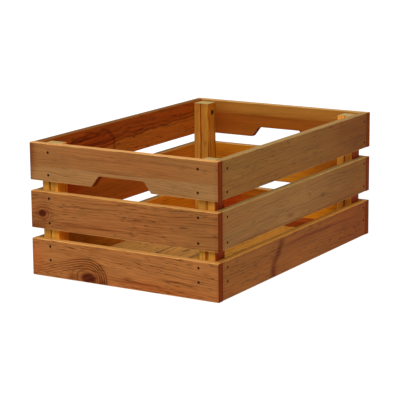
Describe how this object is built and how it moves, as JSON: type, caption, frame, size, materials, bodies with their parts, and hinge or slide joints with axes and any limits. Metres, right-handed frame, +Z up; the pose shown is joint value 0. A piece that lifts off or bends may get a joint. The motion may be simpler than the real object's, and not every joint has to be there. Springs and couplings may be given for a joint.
{
  "type": "slatted wooden storage crate",
  "caption": "Open-topped softwood crate with slatted walls nailed to corner battens, a boarded floor on cleats and a hand-hold in each end.",
  "frame": {"origin": "middle of the footprint, on the surface that the crate stands on", "axes": "+X across the crate to its right side seen from the front end, +Y along the crate from the front end to the rear end, +Z up"},
  "size_m": [0.4, 0.6, 0.25],
  "materials": {
    "wall_boards": "brown-stained pine with visible knots and grain, satin",
    "battens": "straight-grained pine with a pale yellow stain, satin",
    "floor_boards": "thin brown-stained pine, matt",
    "nails": "dark oxidised wire nails",
    "screws": "dull zinc-plated steel"
  },
  "bodies": {
    "root": {"front_end_top_board": "wall_boards", "front_end_middle_board": "wall_boards", "front_end_bottom_board": "wall_boards", "rear_end_top_board": "wall_boards", "rear_end_middle_board": "wall_boards", "rear_end_bottom_board": "wall_boards", "left_side_top_board": "wall_boards", "left_side_middle_board": "wall_boards", "left_side_bottom_board": "wall_boards", "right_side_top_board": "wall_boards", "right_side_middle_board": "wall_boards", "right_side_bottom_board": "wall_boards", "front_left_end_batten": "battens", "front_left_side_batten": "battens", "front_right_end_batten": "battens", "front_right_side_batten": "battens", "rear_left_end_batten": "battens", "rear_left_side_batten": "battens", "rear_right_end_batten": "battens", "rear_right_side_batten": "battens", "front_cleat": "battens", "rear_cleat": "battens", "left_outer_floor_board": "floor_boards", "left_inner_floor_board": "floor_boards", "right_outer_floor_board": "floor_boards", "right_inner_floor_board": "floor_boards", "front_end_nails": "nails", "rear_end_nails": "nails", "left_side_nails": "nails", "right_side_nails": "nails", "floor_nails": "nails", "corner_screws": "screws", "floor_screws": "screws"}
  },
  "joints": []
}
